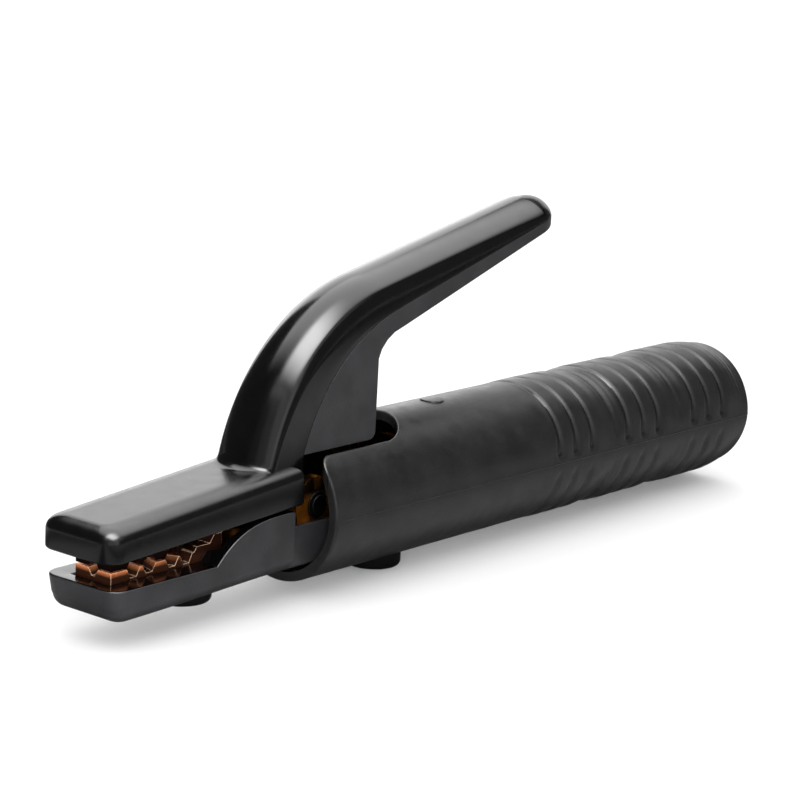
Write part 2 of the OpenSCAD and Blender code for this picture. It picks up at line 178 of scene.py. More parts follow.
# Upper jaw copper: darker copper, near black on upright faces, as painted shade under the lever cover.
COPPER_SHADED = material("copper_painted_shade_mat", (0.16, 0.055, 0.03), 0.4, metal=1.0, spread=0.08, grain=0.00003,
                       grain_size=0.0006, mottle=0.3, sides=(0.02, 0.008, 0.005))
# Brass goes near black to the rear of X 171 mm and above Z 5.4 mm: painted shade inside the barrel and under the
# lever.
BRASS = material("brass_mat", (0.72, 0.25, 0.025), 0.42, metal=1.0, spread=0.08, grain=0.00005, grain_size=0.0008,
                 mottle=0.18, worn=(0.8, 0.32, 0.04), shade_along_x=(0.171, 0.176, (0.02, 0.014, 0.008)),
                 low=(0.0054, 0.0038, (0.02, 0.014, 0.008)))
# Brass drawn near black: painted shade on the lever core and spring cup, deep inside the holder.
BRASS_SHADE = material("brass_painted_shade_mat", (0.035, 0.024, 0.012), 0.5, metal=1.0, spread=0.08, grain=0.00005,
                grain_size=0.0008)
STEEL = material("steel_mat", (0.55, 0.55, 0.57), 0.28, metal=1.0, spread=0.08, grain=0.00001, grain_size=0.0005,
                 mottle=0.1, worn=(0.8, 0.8, 0.82))
BOSS = material("boss_black_mat", (0.002, 0.002, 0.002), 0.4, spec=0.1, grain=0.00003, grain_size=0.0006)
# Near-black steel; on the pivot pin and its clips the black is painted shade at the mouth of the barrel.
BLACK_STEEL_AND_SHADE = material("black_steel_and_painted_shade_mat", (0.02, 0.02, 0.021), 0.5, metal=1.0, spread=0.08, grain=0.00003,
                   grain_size=0.0006)


# ------------------------------------------------------------------ mesh helpers
def added(name, data):
    ob = bpy.data.objects.new(name, data)
    bpy.context.scene.collection.objects.link(ob)
    return ob


def make(name, verts, faces, body, mat, stands_for=(), sharp=40.0, weighted=True):
    """Mesh piece from points in millimetres, welded, outward facing, smooth apart from its sharp edges."""
    me = bpy.data.meshes.new(name)
    me.from_pydata([(x * MM, y * MM, z * MM) for x, y, z in verts], [], faces)
    bm = bmesh.new()
    bm.from_mesh(me)
    bmesh.ops.remove_doubles(bm, verts=bm.verts, dist=1e-4 * MM)
    bmesh.ops.dissolve_degenerate(bm, edges=bm.edges, dist=1e-8)
    bmesh.ops.recalc_face_normals(bm, faces=bm.faces)
    for f in bm.faces:
        f.smooth = True
    for e in bm.edges:
        if len(e.link_faces) == 2 and e.calc_face_angle(0) > math.radians(sharp):
            e.smooth = False
    bm.to_mesh(me)
    bm.free()
    me.materials.append(mat)
    ob = added(name, me)
    if weighted:
        ob.modifiers.new("weights", "WEIGHTED_NORMAL").keep_sharp = True
    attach(ob, body)
    if stands_for:
        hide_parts(*stands_for)
    return ob


class Shape:
    """Points in millimetres and the faces between them."""

    def __init__(self):
        self.v, self.f = [], []

    def row(self, points):
        i = len(self.v)
        self.v += [tuple(p) for p in points]
        return list(range(i, i + len(points)))

    def cap(self, rings):
        """Closes both ends of a loft."""
        self.f += [tuple(rings[0]), tuple(reversed(rings[-1]))]

    def strip(self, a, b, closed=False):
        n = len(a)
        for k in range(n if closed else n - 1):
            j = (k + 1) % n
            self.f.append((a[k], a[j], b[j], b[k]))

    def loft(self, rows, closed=False):
        idx = [self.row(r) for r in rows]
        for a, b in zip(idx, idx[1:]):
            self.strip(a, b, closed)
        return idx

    def mirrored(self):
        """Adds the other half, across the plane y = 0."""
        n = len(self.v)
        self.v += [(x, -y, z) for x, y, z in self.v]
        self.f += [tuple(i + n for i in reversed(f)) for f in self.f]


# ------------------------------------------------------------------ handle barrel
R, RIN, END = 18.45, 16.0, 183.0  # outer and inner radius, front end
SLOT_X, SLOT_W, FLARE = 157, 11, 4  # slot: centre of its round end, half width, radius where it opens at the front
# (x, radius) along the top of the grip, and the places of its grooves
TOP = [(0, 17.75), (2.2, 17.95), (4.2, 18.2), (6, 18.55), (8, 18.8), (10.5, 18.98), (28.6, 18.98), (31, 18.84),
       (34.8, 18.35), (36.6, 18.05), (38.7, 18.35), (43, 18.82), (50, 18.76), (59.7, 18.84), (63.5, 18.66),
       (65.5, 18.35), (67.4, 17.86), (69.5, 18.25), (74.5, 18.74), (86, 18.74), (92, 18.64), (95.5, 18.45)]
GROOVES = (92.6, 85.6, 78.2, 61.6, 54.1, 47.0, 29.3, 21.9, 14.5)


def barrel_r(x, c):
    """Outer radius at x where c is the cosine of the angle from the top."""
    side = 18.42 if x < 97 else R
    side -= 0.8 * (1 - sm(0, 2.4, x)) ** 2
    if x > 97:
        return side
    a = abs(c)
    body = sm(0.04, 0.55, a)
    if c > 0:
        depth = 0.56 * sm(0.04, 0.12, a) * (1.5 - 0.5 * sm(0.25, 0.75, a))
        sigma = 1.5 - 0.55 * sm(0.1, 0.4, a) - 0.37 * sm(0.25, 0.9, a)
    else:
        depth, sigma = 0.55 * sm(0.09, 0.3, a), 1.0
    r = side + (curve_at(TOP, x) - side) * body
    for g in GROOVES:
        d = (x - g) / sigma
        if abs(d) < 3:
            r -= depth * math.exp(-d * d)
    return r - 0.55 * max(0.0, 1 - x / 0.9) ** 2


def round_steps(e, n=4):
    """Offset from the edge and drop of an edge rounding of radius e, from the flat to the wall."""
    return [(e * (1 - math.sin(b)), e * (1 - math.cos(b))) for b in (math.pi / 2 * i / n for i in range(n + 1))]


def build_barrel():
    s = Shape()
    cols, e = 96, 0.7
    mouth_x, mouth_y = END - FLARE, SLOT_W + FLARE
    # the slot's edge from its round end to the front, each point with the direction away from the slot
    slot_pts = [((SLOT_X - SLOT_W * math.cos(t), SLOT_W * math.sin(t)), (-math.cos(t), math.sin(t)))
                for t in (math.pi / 2 * i / 28 for i in range(28))]
    slot_pts += [((SLOT_X + (mouth_x - SLOT_X) * i / 11, SLOT_W), (0, 1)) for i in range(11)]
    slot_pts += [((mouth_x + FLARE * math.cos(t), mouth_y + FLARE * math.sin(t)), (-math.cos(t), -math.sin(t)))
                 for t in (-math.pi / 2 + math.pi / 2 * i / 10 for i in range(11))]

    def arc_row(x, y0, radius):
        """Points round one side of the barrel, from y0 near the top to the bottom."""
        t0 = math.asin(y0 / (radius if isinstance(radius, float) else R))
        out = []
        for j in range(cols + 1):
            t = t0 + (math.pi - t0) * j / cols
            r = radius if isinstance(radius, float) else radius(x, math.cos(t))
            out.append((x, r * math.sin(t), r * math.cos(t)))
        return out

    wide = 3.0
    outer = [arc_row(p[0] + wide * n[0], p[1] + wide * n[1], R) for p, n in slot_pts]
    s.loft(outer)
    # from the slot to the rear end, round it and back along the bore
    xs = [143 - 3.5 * i for i in range(13)]
    x = xs[-1]
    while x > 1.2:
        x -= 0.42
        xs.append(x)
    xs += [0.8, 0.45, 0.2, 0.05, 0.0]
    rear = [arc_row(x, 0, barrel_r) for x in xs]
    end_r = 16.6
    rear += [[(0.0, r * math.sin(math.pi * j / cols), r * math.cos(math.pi * j / cols)) for j in range(cols + 1)]
             for r in (end_r, 14.5)]
    rear += [arc_row(x, 0, r) for x, r in ((0.0, 13.6), (0.15, 13.25), (0.6, 13.0), (12, 13.0), (15, RIN),
                                           (60, RIN), (110, RIN))]
    s.loft(rear)
    inner = [arc_row(p[0], p[1], RIN) for p, n in slot_pts]
    s.loft([rear[-1]] + inner)
    # the rounded edge that runs round the slot and on along the front rim
    t0 = math.asin(mouth_y / R)
    rim = [t0 + (math.pi - t0) * j / cols for j in range(1, cols + 1)]
    rows = []
    for d, drop in [(wide, 0), (2, 0), (1.2, 0)] + round_steps(e, 5):
        row = []
        for p, n in slot_pts:
            px, py = p[0] + d * n[0], p[1] + d * n[1]
            row.append((px, py, math.sqrt(R * R - py * py) - drop))
        row += [(END - d, (R - drop) * math.sin(t), (R - drop) * math.cos(t)) for t in rim]
        rows.append(row)
    last = inner[-1]
    wall = [(p[0], p[1], math.sqrt(RIN * RIN - p[1] * p[1])) for p, n in slot_pts] + last[1:]
    mid = [tuple(a + (b - a) * 0.5 for a, b in zip(u, v)) for u, v in zip(rows[-1], wall)]
    s.loft(rows + [mid, wall])
    s.mirrored()
    make("handle_barrel_shell", s.v, s.f, "holder", SATIN, ["handle_barrel"], sharp=50)


build_barrel()


def build_barrel_trim():
    """Moulding line along both sides, and the round ejector mark on top."""
    s = Shape()
    for side in (1, -1):
        rows = []
        x = 1.2
        while x < END - 1:
            r = barrel_r(x, 0)
            rows.append([(x, side * (r + h), w) for w, h in ((-0.32, -0.05), (-0.16, 0.06), (0, 0.1), (0.16, 0.06),
                                                             (0.32, -0.05), (0.2, -0.4), (-0.2, -0.4))])
            x += 1.5
        s.cap(s.loft(rows, closed=True))
    make("handle_parting_line", s.v, s.f, "holder", SATIN, sharp=80, weighted=False)
    s = Shape()
    rows = []
    for r, h in ((0.05, -0.25), (3.25, -0.25), (3.12, 0.16), (3.0, 0.3), (2.8, 0.34), (2.2, 0.33), (1.2, 0.33),
                 (0.05, 0.33)):
        rows.append([(126 + r * math.cos(t), r * math.sin(t), math.sqrt(R * R - (r * math.sin(t)) ** 2) + h)
                     for t in (2 * math.pi * i / 48 for i in range(48))])
    s.cap(s.loft(rows, closed=True))
    make("handle_ejector_mark", s.v, s.f, "holder", SATIN, sharp=80)


build_barrel_trim()

# ------------------------------------------------------------------ lever cover: jaw block, arch and arm
OX, OZ, SR = 146.2, 0.5, 51.4  # centre and radius of the arch's shoulder line
TILT = math.radians(12)  # slope of the arm
ARC, ARM = SR * (math.pi / 2 - TILT), 72.6  # path lengths of the arch and of the arm
SEAM_X, SEAM_Z, SEAM_R = 140.68, 1.64, 46.34  # the seam's arc
SEAM_T = math.radians(15.6)  # slope of the seam under the arm
HALF_W, BULGE_W, BULGE_H = 11.9, 5.6, 3.4  # jaw cover: half width, width and height of the rounding of its sides


def cover_top(x):
    return 12.5 - (x - 200) * math.tan(math.radians(4.95))


def cover_skin(x, y):
    """Height of the jaw cover's top at a side distance y, along the long rounding of its sides."""
    near = max(1 - (HALF_W - abs(y)) / BULGE_W, 0)
    return cover_top(x) - BULGE_H * (1 - math.sqrt(max(1 - near * near, 0)))


def cover_bottom(x):
    return 3.7 - (x - 187) * 0.05556


def nose_outline(x0, x1, hw, rf, rr, inset):
    """Closed outline of a bar with rounded front corners of radius rf and rear corners of rr, moved in by inset."""
    pts = []
    a0, a1, h = x0 + inset, x1 - inset, hw - inset
    f, b = max(rf - inset, 0.15), max(rr - inset, 0.15)

    def corner(cx, cy, r, start):
        for i in range(13):
            t = math.radians(start + 90 * i / 12)
            pts.append((cx + r * math.cos(t), cy + r * math.sin(t)))

    def side(xa, xb, y):
        for i in range(1, 24):
            pts.append((xa + (xb - xa) * i / 24, y))

    corner(a1 - f, -h + f, f, -90)
    for i in range(1, 8):
        pts.append((a1, (-h + f) + (2 * h - 2 * f) * i / 8))
    corner(a1 - f, h - f, f, 0)
    side(a1 - f, a0 + b, h)
    corner(a0 + b, h - b, b, 90)
    for i in range(1, 8):
        pts.append((a0, (h - b) - (2 * h - 2 * b) * i / 8))
    corner(a0 + b, -h + b, b, 180)
    side(a0 + b, a1 - f, -h)
    return pts


def build_cover():
    s = Shape()
    x0, x1, hw = 187.0, 250.9, HALF_W
    rows = []
    # cavity, rim, rounded lower edge, sides, rounded upper edge, flat top
    cav = nose_outline(187.0, 245.9, 7.7, 0.3, 0.2, 0)
    rows.append([(x, y, 5.7) for x, y in cav])
    rows.append([(x, y, cover_bottom(x) + 0.2) for x, y in cav])
    rim = nose_outline(186.9, 246.1, 7.9, 0.4, 0.3, 0)
    rows.append([(max(x, 187.05), y, cover_bottom(x)) for x, y in rim])
    for d, drop in round_steps(0.7, 3):
        rows.append([(x, y, cover_bottom(x) + drop) for x, y in nose_outline(x0, x1, hw, 4.5, 1.2, d)])
    steps = [math.pi / 2 * i / 14 for i in range(15)]
    edge = [(BULGE_W * (1 - math.cos(t)), BULGE_H * (1 - math.sin(t))) for t in steps]
    for d, drop in edge + [(BULGE_W + 0.12, 0), (BULGE_W + 1.5, 0)]:  # the nose is rounded less than the sides
        outline = nose_outline(x0, x1 + 0.35 * d, hw, 4.5 + 0.55 * d, 1.2, d)
        rows.append([(x, y, cover_top(x) - drop) for x, y in outline])
    idx = s.loft(rows, closed=True)
    s.f += [tuple(idx[-1]), tuple(reversed(idx[0]))]
    make("lever_jaw_cover", s.v, s.f, "lever", HANDLED, ["lever_cover"], sharp=60, weighted=False)


build_cover()


LEDGE = -5.9


def ledge(x):
    """Height of the lower cover's rim: a low ledge round the insert, then cheeks that rise to the rear."""
    if x >= 216.6:
        return LEDGE + 0.02 * max(217.4 - x, 0)
    t = min((216.6 - x) / 26.1, 1)
    return LEDGE + 8.5 * (1 - (1 - t) ** 3.3)


def lower_outline(x0, x1, hw, rf, inset):
    """Like nose_outline, with side points gathered where the rim climbs and pairs at the channel's walls."""
    xs = [242, 237, 232, 227, 223, 220.5, 219, 218, 217.4, 216.9, 216.6, 216.1, 215.4, 214.5, 213.4, 212, 210.4,
          208.6, 206.5, 204.2, 201.6, 199, 196.2, 193.6, 191.8]
    f, h = max(rf - inset, 0.12), hw - inset
    a1, a0 = x1 - inset, x0 + min(inset, 0.4)
    ys = [h * 0.93, min(9.35, h * 0.86), min(9.25, h * 0.84), 5, 0]
    pts = [(a1, 0.0), (a1, (h - f) * 0.5)]
    pts += [(a1 - f + f * math.cos(t), h - f + f * math.sin(t)) for t in (math.pi / 2 * i / 14 for i in range(15))]
    pts += [(x, h) for x in xs]
    pts += [(a0, y) for y in [h] + ys]
    return pts + [(x, -y) for x, y in reversed(pts[1:-1])]


def build_lower_cover():
    s = Shape()
    x0, x1, hw = 190.5, 249.5, HALF_W
    slope = math.tan(math.radians(1.15))

    def under(x):
        return -12.0 - (x - 180) * slope - 0.7 * sm(190, 240, x)

    def rim(x, y, lower=0.0):
        return (-9.2 if x < x0 + 0.6 and abs(y) < 9.3 else ledge(x)) - lower

    cavity = []
    for x, y in lower_outline(x0, x1, hw, 4.5, 0):
        half = 5.9 + 3.4 * sm(214.3, 213.7, x) if x < 214.3 else 5.9
        if x < x0 + 0.01:
            cavity.append((x0 + 0.25, max(-9.3, min(9.3, y))))
        else:
            if x > x1 - 4.5:
                t = math.atan2(max(abs(y) - 7.4, 0), x - (x1 - 4.5))
                cx, cy = 245.4 + 0.3 * math.cos(t), 5.6 + 0.3 * math.sin(t)
                if abs(y) < 7.4:
                    cx, cy = 245.7, 5.6 * abs(y) / 7.4
                cavity.append((cx, math.copysign(cy, y) if y else 0.0))
            else:
                cavity.append((min(x, 245.4), math.copysign(half, y)))
    rows = [[(x, y, -11.0 if x > 214 else -9.2) for x, y in cavity]]
    rows.append([(x, y, rim(x, y, 0.25)) for x, y in cavity])
    near = lower_outline(x0, x1, hw, 4.5, 0)
    grown = [(cx + (nx - cx) * 0.06, cy + (ny - cy) * 0.06) for (cx, cy), (nx, ny) in zip(cavity, near)]
    rows.append([(x, y, rim(nx, ny)) for (x, y), (nx, ny) in zip(grown, near)])
    for i in range(5):
        t = math.pi / 2 * i / 4
        d, drop = 0.5 * (1 - math.sin(t)), 0.5 * (1 - math.cos(t))
        if i == 0:
            rows.append([(x, y, rim(x, y)) for x, y in lower_outline(x0, x1, hw, 4.5, 0.7)])
        rows.append([(x, y, rim(x, y, drop)) for x, y in lower_outline(x0, x1, hw, 4.5, d)])
    # drafted sides, then the long rounding of the lower edge
    e = 3.6
    x1 -= 0.9
    side = [(x, y, under(x) + e) for x, y in lower_outline(x0, x1, hw, 4.5, 0)]
    rows.append([(x, y, min(z, rim(x, y, 0.6))) for x, y, z in side])
    x1 -= 0.3
    for i in range(1, 12):
        t = math.pi / 2 * i / 11
        d, lift = e * (1 - math.cos(t)), e * (1 - math.sin(t))
        rows.append([(x, y, min(under(x) + lift, rim(x, y, 0.7))) for x, y in lower_outline(x0, x1, hw, 4.5, d)])
    rows.append([(x, y, under(x)) for x, y in lower_outline(x0, x1, hw, 4.5, e + 0.15)])
    idx = s.loft(rows, closed=True)
    # underside: the flat nose, strips across, the flat rear
    last = idx[-1]
    n, nose, rear = len(last), 3, len(last) // 2 - 6
    s.f.append([last[k] for k in range(-nose, nose + 1)])
    s.f += [(last[k], last[k + 1], last[n - k - 1], last[n - k]) for k in range(nose, rear)]
    s.f.append(last[rear:n - rear + 1])
    s.f.append(tuple(reversed(idx[0])))
    ob = make("lower_jaw_cover", s.v, s.f, "holder", GRAIN, ["lower_cover"], sharp=50)
    ob.data.materials.append(GLOSS)
    for p in ob.data.polygons:  # the ledge round the insert and the rims of the cheeks are rubbed smooth
        if abs(p.normal.y) < 0.3 and p.normal.z > 0.3 and p.center.z > (LEDGE - 0.12) * MM:
            p.material_index = 1


build_lower_cover()


def build_lower_neck():
    """The channel that reaches from the lower cover into the handle."""
    s = Shape()
    half = [(9.1, -11.1), (9.1, -6), (9.1, -1.9), (9.3, -1.7), (10.4, -1.7), (10.6, -1.9), (10.6, -7), (10.6, -11.2),
            (10.2, -11.75), (9.4, -12.2), (5, -12.2)]
    ring = half + [(-y, z) for y, z in reversed(half)]
    idx = s.loft([[(x, y, z) for y, z in ring] for x in (176, 183, 190.7)], closed=True)
    for r, flip in ((idx[0], False), (idx[-1], True)):
        n = len(r)
        for k in range(len(half) - 1):
            q = (r[k], r[k + 1], r[n - 2 - k], r[n - 1 - k])
            s.f.append(q if flip else tuple(reversed(q)))
    make("lower_cover_neck", s.v, s.f, "holder", GRAIN, sharp=40)


build_lower_neck()


def seam_h(px, pz, dx, dz):
    """Distance from a shoulder point, inwards along (dx, dz), to the seam between the cover and its insert."""
    ex, ez = px - SEAM_X, pz - SEAM_Z
    b = ex * dx + ez * dz
    c = ex * ex + ez * ez - SEAM_R ** 2
    t = -b - math.sqrt(max(b * b - c, 0))
    qx, qz = px + t * dx, pz + t * dz
    bend = (SEAM_X + SEAM_R * math.sin(SEAM_T), SEAM_Z + SEAM_R * math.cos(SEAM_T))
    if dx > -0.6 and px < 160 or b * b < c:  # over the arm, where the seam is straight
        qx = 0
    if qz < 15.0 and qx > 0:  # at the foot the seam stands upright
        t = (px - 185.0) / -dx
    elif qx < bend[0]:
        k = math.tan(SEAM_T)
        t = (bend[1] + (bend[0] - px) * k - pz) / (dz + k * dx)
    return t


TIP, ARM_W = 9, 9.0  # length of the rounded tip, half width of the arm


def lever_station(u):
    """Shoulder point, outward direction, crown height, half width and end drop at path length u along the lever."""
    if u < ARC:
        a = u / SR
        p = (OX + SR * math.cos(a), OZ + SR * math.sin(a))
        n = (math.cos(a), math.sin(a))
    else:
        a = math.pi / 2 - TILT
        n = (math.cos(a), math.sin(a))
        p = (OX + SR * n[0] - (u - ARC) * n[1], OZ + SR * n[1] + (u - ARC) * n[0])
    left = ARC + ARM - u
    w, drop = ARM_W, 0.0
    if left < TIP:
        drop = 1 - left / TIP
        w = ARM_W * math.sqrt(max(1 - drop * drop, 0))
    crown = 3.3 + 0.9 * sm(0, ARC, u)
    return p, n, crown, w, drop


def lever_section(u):
    """Points round the upper side of the arch and arm, from seam to seam."""
    half = 26
    p, n, crown, w, drop = lever_station(u)
    low = seam_h(p[0], p[1], -n[0], -n[1])
    w = max(w, 0.02)
    k = w / ARM_W
    g = min(0.3, low * 0.3, w * 0.3)
    m = sm(ARC * 0.45, ARC * 0.95, u)
    e = 1.3 * k
    ez = max(min(e * 1.05, low - g - 0.12), 0.02)
    fall = 1.4 * (1 - math.sqrt(max(1 - drop * drop, 0)))
    fall = min(fall, max(low - ez - g - 0.06, 0))
    rise = crown * k ** 0.8
    arc_r = (w * w + rise * rise) / (2 * rise)

    def height(y):
        return math.sqrt(arc_r ** 2 - y * y) - (arc_r - rise) - fall

    # side of the arch: a tight rounding; side of the arm: one long curve from the crown to the seam
    inner = w - 1.5 * k
    deep = max(min(5.3 * k, low - g - 0.06 - fall), ez)
    a = (inner, height(inner))
    c = (w, a[1] - (w - inner) * inner / math.sqrt(arc_r ** 2 - inner ** 2))
    b = (w, -fall - deep)
    side = []
    for i in range(10):
        q, t = i / 9, math.pi / 2 * i / 9
        y = w - e * (1 - math.cos(t))
        tight = (y, height(y) - ez * (1 - math.sin(t)))
        long = [(1 - q) ** 2 * b[n] + 2 * q * (1 - q) * c[n] + q * q * a[n] for n in (0, 1)]
        side.append(tuple(tight[n] * (1 - m) + long[n] * m for n in (0, 1)))
    pts = [(w - g, -low), (w - g * 0.3, -low + g * 0.3), (w, -low + g), (w, (side[0][1] - low + g) / 2)] + side
    wi = pts[-1][0]
    pts += [(y, height(y)) for y in (wi * (1 - i / half) for i in range(1, half + 1))]
    full = pts + [(-y, h) for y, h in reversed(pts[:-1])]
    return [(p[0] + n[0] * h, y, p[1] + n[1] * h) for y, h in full]


def build_lever():
    us = [SR * math.radians(6) + i * 0.9 for i in range(int((ARC - 5.4) / 0.9) + 4)]
    us = [u for u in us if u < ARC + 1]
    while us[-1] + 2.0 < ARC + ARM - TIP:
        us.append(us[-1] + 2.0)
    us += [ARC + ARM - TIP * (1 - math.sin(math.pi / 2 * i / 16)) for i in range(1, 17)]
    s = Shape()
    idx = s.loft([lever_section(u) for u in us])
    s.f += [(a[0], b[0], b[-1], a[-1]) for a, b in zip(idx, idx[1:])]  # the face that lies on the insert
    s.cap(idx)
    make("lever_arch", s.v, s.f, "lever", GLOSS, sharp=45)


build_lever()


def build_foot():
    """Fillet where the front of the arch runs into the jaw cover."""
    s = Shape()
    rows = []

    def at(k, a):
        return Vector(lever_section(SR * a)[k])

    # where each lengthwise line of the arch meets the cover
    feet = []
    for k in range(9, len(lever_section(SR * math.radians(20))) - 9):
        a, b = math.radians(8), math.radians(24)
        for _ in range(24):
            m = (a + b) / 2
            q = at(k, m)
            if q.z > cover_skin(q.x, q.y):
                b = m
            else:
                a = m
        feet.append((k, b, at(k, b)))
    for i, (k, a, foot) in enumerate(feet):
        t = i / (len(feet) - 1)
        r = 0.9 + 1.7 * math.sin(math.pi * t) ** 0.6
        p, q = feet[max(i - 1, 0)][2], feet[min(i + 1, len(feet) - 1)][2]
        along = (q - p).normalized()
        out = Vector((-along.y, along.x, 0))
        if out.x < 0:
            out = -out
        out.normalize()
        up = at(k, a + r / SR)
        far = foot + out * r
        far.z = cover_skin(far.x, far.y) + 0.012
        up = up + Vector((0.012, 0, 0.004))
        row = [up * (1 - w) ** 2 + foot * (2 * w * (1 - w)) + far * (w * w) for w in (j / 10 for j in range(11))]
        rows.append(row + [foot - out * 0.5 - Vector((0, 0, 0.5))])
    s.cap(s.loft(rows, closed=True))
    make("lever_foot_fillet", s.v, s.f, "lever", GLOSS, sharp=80, weighted=False)


build_foot()


# ------------------------------------------------------------------ spring
def build_spring():
    s = Shape()
    cx, z0, cr, wr = 166.0, -5.75, 3.8, 0.68  # axis, height of the first wire centre, coil and wire radius
    turns, steps = 5, 48

    def z_at(u):
        """Rise after u turns, with a closed turn at either end."""
        return 1.5 * min(u, 1) + 3.3 * max(0, min(u, turns - 1) - 1) + 1.5 * max(0, u - turns + 1)

    rows = []
    for i in range(turns * steps + 1):
        u = i / steps
        a = 2 * math.pi * u
        z = z0 + z_at(u)
        rows.append([(cx + (cr + wr * math.cos(b)) * math.cos(a), (cr + wr * math.cos(b)) * math.sin(a),
                      z + wr * math.sin(b)) for b in (2 * math.pi * j / 16 for j in range(16))])
    s.cap(s.loft(rows, closed=True))
    ob = make("jaw_spring_coil", s.v, s.f, "holder", STEEL, ["jaw_spring"], sharp=50, weighted=False)
    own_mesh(ob)


build_spring()

# ------------------------------------------------------------------ CAD nodes that stay: edges eased, finishes set
# Painted shade in this table: the upper jaw's darker copper, the near-black brass of the lever core and spring cup,
# and the black of the pivot pin and clips.
FINISH = {  # material, width of the eased edge in mm, smallest angle that is eased
    "lever_insert": (GRAIN, 0.5, 30), "clamp_body": (BRASS, 0.4, 30),
    "lower_jaw": (COPPER, 0.45, 25), "upper_jaw": (COPPER_SHADED, 0.3, 25),
    "lower_jaw_rivets": (COPPER, 0.15, 30), "upper_jaw_rivets": (COPPER, 0.15, 30),
    "jaw_screw": (STEEL, 0.18, 30), "handle_screw": (BLACK_STEEL_AND_SHADE, 0.18, 30), "jaw_screw_boss": (BOSS, 0.25, 30),
    "handle_screw_boss": (BOSS, 0.25, 30), "cable_screws": (STEEL, 0.15, 30), "cable_sleeve": (COPPER, 0.12, 30),
    "pivot_pin": (BLACK_STEEL_AND_SHADE, 0.2, 30), "pivot_clips": (BLACK_STEEL_AND_SHADE, 0.1, 30), "hinge_washers": (STEEL, 0.1, 30),
    "spring_post": (STEEL, 0.15, 30), "lever_core": (BRASS_SHADE, 0.3, 30), "cover_screw": (STEEL, 0.12, 30),
    "hinge_bush": (BRASS, 0.1, 30), "spring_cup": (BRASS_SHADE, 0.15, 30), "insert_screws": (STEEL, 0.1, 30),
}
for name, (mat, ease, limit) in FINISH.items():
    ob = nodes[name]
    ob.data.materials.clear()
    ob.data.materials.append(mat)
    for p in ob.data.polygons:
        p.use_smooth = True
        p.material_index = 0
    ob.modifiers.new("weld", "WELD").merge_threshold = 2e-6
    d = ob.modifiers.new("flat_faces", "DECIMATE")
    d.decimate_type = "DISSOLVE"
    d.angle_limit = math.radians(0.6)
    b = ob.modifiers.new("eased_edges", "BEVEL")
    b.width = ease * MM
    b.segments = 3
    b.limit_method = "ANGLE"
    b.angle_limit = math.radians(limit)
    b.use_clamp_overlap = True
    # The lower jaw's eased edges take the painted highlight copper.
    if name == "lower_jaw":
        ob.data.materials.append(COPPER_HIGHLIGHT)
        b.material = 1
    ob.modifiers.new("weights", "WEIGHTED_NORMAL").keep_sharp = False

# ------------------------------------------------------------------ camera
az, el, roll = (math.radians(a) for a in (38.93, 12.77, 3.09))
back = Vector((math.cos(el) * math.cos(az), math.cos(el) * math.sin(az), math.sin(el)))
right = Vector((-math.sin(az), math.cos(az), 0))
up = back.cross(right)
c, sn = math.cos(roll), math.sin(roll)
r2, u2 = right * c + up * sn, up * c - right * sn
cam_data = bpy.data.cameras.new("camera")
cam_data.lens, cam_data.sensor_width = 117.72, 36
cam_data.clip_start, cam_data.clip_end = 0.01, 100
eye = Vector((0.12748, -0.00927, 0.01684)) + back * 0.67483
cam = added("camera", cam_data)
cam.matrix_world = Matrix(((r2.x, u2.x, back.x, eye.x), (r2.y, u2.y, back.y, eye.y), (r2.z, u2.z, back.z, eye.z),
                           (0, 0, 0, 1)))
bpy.context.scene.camera = cam

# ------------------------------------------------------------------ floor, world, lights
FLOOR_Z = -0.0211  # just under the lowest screw head


def plain(name, colour, emit=None):
    """Matt material, or an evenly glowing one."""
    m = bpy.data.materials.new(name)
    m.use_nodes = True
    b = m.node_tree.nodes["Principled BSDF"]
    b.inputs["Base Color"].default_value = tuple(colour) + (1,)
    b.inputs["Roughness"].default_value = 0.9
    b.inputs["Specular IOR Level"].default_value = 0.0
    if emit is not None:
        b.inputs["Emission Color"].default_value = (1, 1, 1, 1)
        b.inputs["Emission Strength"].default_value = emit
    return m


def staged(name, verts, faces, mat):
    me = bpy.data.meshes.new(name)
    me.from_pydata(verts, [], faces)
    me.materials.append(mat)
    ob = added(name, me)
    return ob


def disc(name, radius, z, mat):
    n = 96
    return staged(name, [(0.12 + radius * math.cos(t), radius * math.sin(t), z)
                         for t in (2 * math.pi * i / n for i in range(n))], [tuple(range(n))], mat)


def only_reflected(ob):
    ob.visible_camera = ob.visible_diffuse = ob.visible_shadow = ob.visible_transmission = False


disc("floor", 14.0, FLOOR_Z, plain("floor_mat", (0.93, 0.93, 0.93)))

world = bpy.data.worlds.new("studio")
world.use_nodes = True
world.node_tree.nodes["Background"].inputs["Color"].default_value = (1, 1, 1, 1)
world.node_tree.nodes["Background"].inputs["Strength"].default_value = 1.3
bpy.context.scene.world = world


def card(name, az0, az1, el0, el1, glow, radius=3.0):
    """Large curved studio card that only reflections see. Azimuth is from +X towards +Y."""
    s = Shape()
    rows = []
    for j in range(9):
        e = math.radians(el0 + (el1 - el0) * j / 8)
        rows.append([(0.15 + radius * math.cos(e) * math.cos(a), radius * math.cos(e) * math.sin(a),
                      radius * math.sin(e)) for a in (math.radians(az0 + (az1 - az0) * i / 24) for i in range(25))])
    s.loft(rows)
    only_reflected(staged(name, s.v, s.f, plain(name + "_mat", (0, 0, 0), glow)))


card("card_right", -113, -12, -1, 49, 0.05)
card("card_front_a", -12, 5, -1, 42, 0.12)
card("card_front_b", 5, 24, -1, 42, 0.35)
card("card_front_c", 24, 62, -1, 42, 0.85)
card("card_left_rear", 82, 186, 0, 40, 0.12)
card("card_back", 217, 247, 0, 45, 2.1, 2.9)


